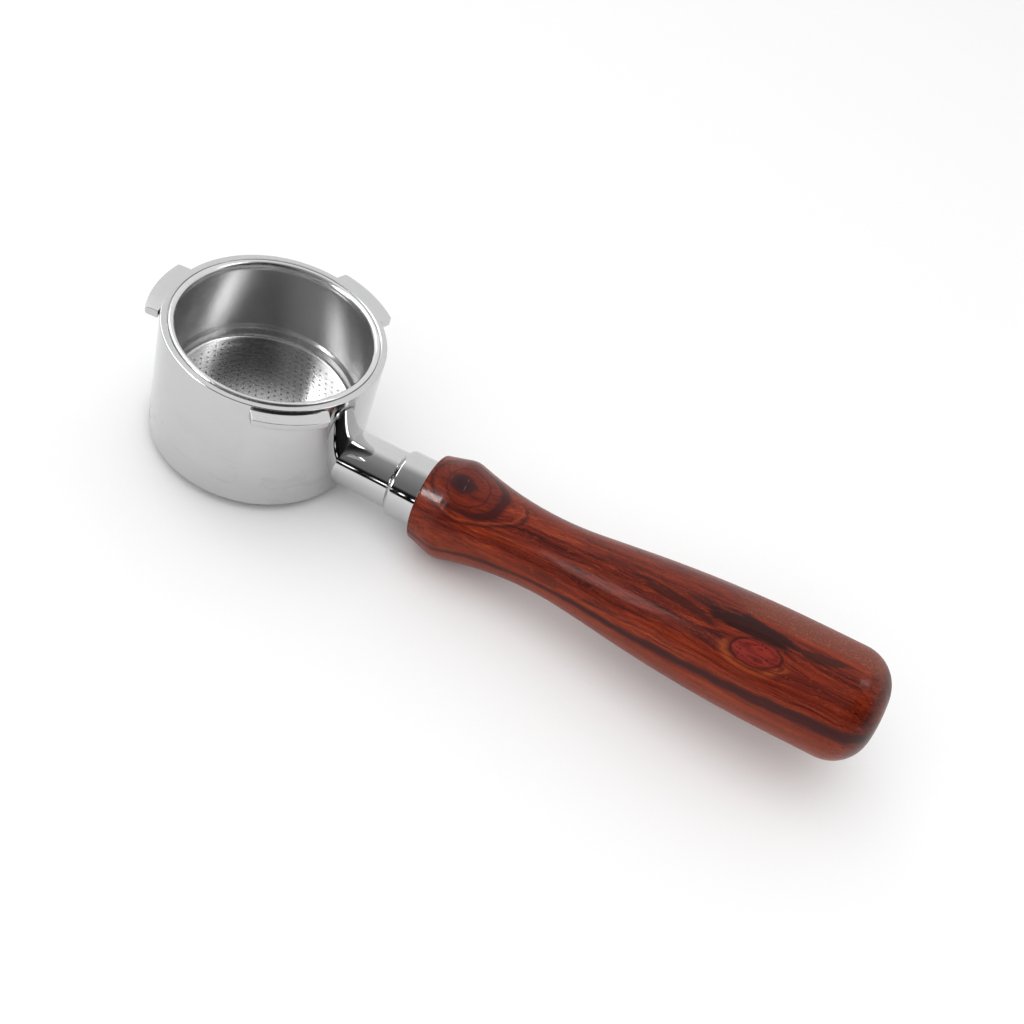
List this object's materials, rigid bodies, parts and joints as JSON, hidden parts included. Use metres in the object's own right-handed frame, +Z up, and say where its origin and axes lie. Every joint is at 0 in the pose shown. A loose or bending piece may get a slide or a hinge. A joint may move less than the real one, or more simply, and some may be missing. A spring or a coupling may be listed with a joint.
{
  "type": "portafilter",
  "caption": "Bottomless espresso portafilter: a steel ring with bayonet lugs, a perforated filter basket and a turned wooden handle on a round neck.",
  "frame": {"origin": "centre of the ring's foot, on the plane it stands on", "axes": "+Z up along the ring's axis towards the basket's mouth, +X from the ring towards the butt of the handle"},
  "size_m": [0.2277, 0.0671, 0.0418],
  "materials": {
    "polished_steel": "mirror polished",
    "basket_steel": "satin drawn sheet",
    "spring_steel": "plain",
    "insert_brass": "machined",
    "handle_wood": "oiled hardwood"
  },
  "bodies": {
    "head": {"cup_ring": "polished_steel", "basket_spring": "spring_steel", "neck": "polished_steel", "handle_stud": "spring_steel"},
    "basket": {"filter_basket": "basket_steel"},
    "collar": {"collar": "polished_steel"},
    "handle": {"threaded_insert": "insert_brass", "wood_handle": "handle_wood"}
  },
  "joints": [
    {"name": "basket_lift", "type": "slide", "parent": "head", "child": "basket", "axis": [0, 0, 1], "range_m": [0, 0.035], "deforming": ["basket_spring"]},
    {"name": "collar_travel", "type": "slide", "parent": "head", "child": "collar", "axis": [0.9957, 0, 0.0924], "range_m": [0, 0.01501]},
    {"name": "handle_turn", "type": "hinge", "parent": "collar", "child": "handle", "pos_m": [0, 0, 0.0058], "axis": [0.9957, 0, 0.0924], "range_deg": [0, 3600]}
  ],
  "couplings": [
    {"joint": "collar_travel", "follows": "handle_turn", "m_per_rad": 0.00023873}
  ]
}
